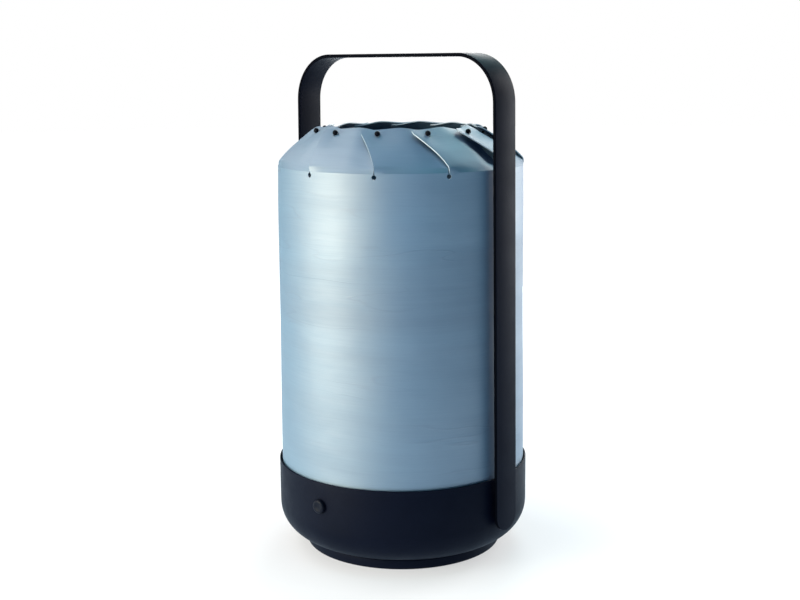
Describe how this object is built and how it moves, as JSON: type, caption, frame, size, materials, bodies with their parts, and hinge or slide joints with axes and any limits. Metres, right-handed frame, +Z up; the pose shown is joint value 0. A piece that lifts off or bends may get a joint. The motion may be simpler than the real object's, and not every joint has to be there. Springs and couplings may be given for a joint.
{
  "type": "table lantern",
  "caption": "Cordless lantern: a rolled veneer shade with riveted petal top, in a round metal cup with a tall strap handle and a side push button.",
  "frame": {"origin": "centre of the foot's flat underside, on the surface the lantern stands on", "axes": "+Z up along the lantern's axis; the handle's two legs are on +X and -X; the push button faces -Y"},
  "size_m": [0.1606, 0.1524, 0.2926],
  "materials": {
    "powder_coat": "matte fine-texture powder coat, near black with a blue cast",
    "rivet": "satin black",
    "button": "satin black moulded plastic",
    "veneer": "light blue dyed wood veneer, satin, grain running round the shade",
    "foot_rubber": "matte black rubber",
    "moulded": "black moulded plastic",
    "opal": "frosted opal plastic",
    "steel": "zinc-plated steel",
    "port_metal": "bright stainless shell",
    "aluminium": "bare aluminium",
    "white_board": "white solder mask",
    "green_board": "green solder mask",
    "phosphor": "yellow LED phosphor",
    "cell_wrap": "blue shrink wrap",
    "plunger": "red moulded plastic",
    "lead_red": "red wire insulation",
    "lead_black": "black wire insulation"
  },
  "bodies": {
    "lantern_body": {"backing_plate_left": "steel", "backing_plate_right": "steel", "base_cup": "powder_coat", "battery_cell_1": "cell_wrap", "battery_cell_2": "cell_wrap", "battery_cradle": "moulded", "battery_lead": "lead_red", "battery_screw_1": "steel", "battery_screw_2": "steel", "battery_strap": "steel", "board_spacer_1": "moulded", "board_spacer_2": "moulded", "bracket_screw": "steel", "button_guide": "moulded", "button_spring": "steel", "control_board": "green_board", "deck_screw_1": "steel", "deck_screw_2": "steel", "deck_screw_3": "steel", "deck_standoff_1": "steel", "deck_standoff_2": "steel", "deck_standoff_3": "steel", "diffuser": "opal", "diffuser_ring": "moulded", "foot_pad": "foot_rubber", "foot_plate": "powder_coat", "foot_screw_1": "steel", "foot_screw_2": "steel", "foot_screw_3": "steel", "handle_nut_left_1": "steel", "handle_nut_left_2": "steel", "handle_nut_right_1": "steel", "handle_nut_right_2": "steel", "handle_strap": "powder_coat", "heat_spreader": "aluminium", "inner_deck": "moulded", "led_board": "white_board", "led_chip_1": "phosphor", "led_chip_2": "phosphor", "led_chip_3": "phosphor", "led_lead": "lead_black", "rivet_01": "rivet", "rivet_02": "rivet", "rivet_03": "rivet", "rivet_04": "rivet", "rivet_05": "rivet", "rivet_06": "rivet", "rivet_07": "rivet", "rivet_08": "rivet", "rivet_09": "rivet", "rivet_10": "rivet", "rivet_11": "rivet", "shade": "veneer", "switch_body": "moulded", "switch_bracket": "steel", "usb_gasket": "foot_rubber", "usb_port": "port_metal"},
    "button": {"push_button": "button"},
    "plunger": {"switch_plunger": "plunger"}
  },
  "joints": [
    {"name": "button_push", "type": "slide", "parent": "lantern_body", "child": "button", "axis": [-0.0523, 0.9986, 0], "range_m": [0, 0.0012], "stiffness_N_per_m": 900, "springref_m": -0.0012, "deforming": ["button_spring"]},
    {"name": "plunger_push", "type": "slide", "parent": "lantern_body", "child": "plunger", "axis": [-0.0523, 0.9986, 0], "range_m": [0, 0.0012], "stiffness_N_per_m": 200, "springref_m": -0.0012}
  ],
  "couplings": [
    {"joint": "plunger_push", "follows": "button_push", "ratio": 1}
  ]
}
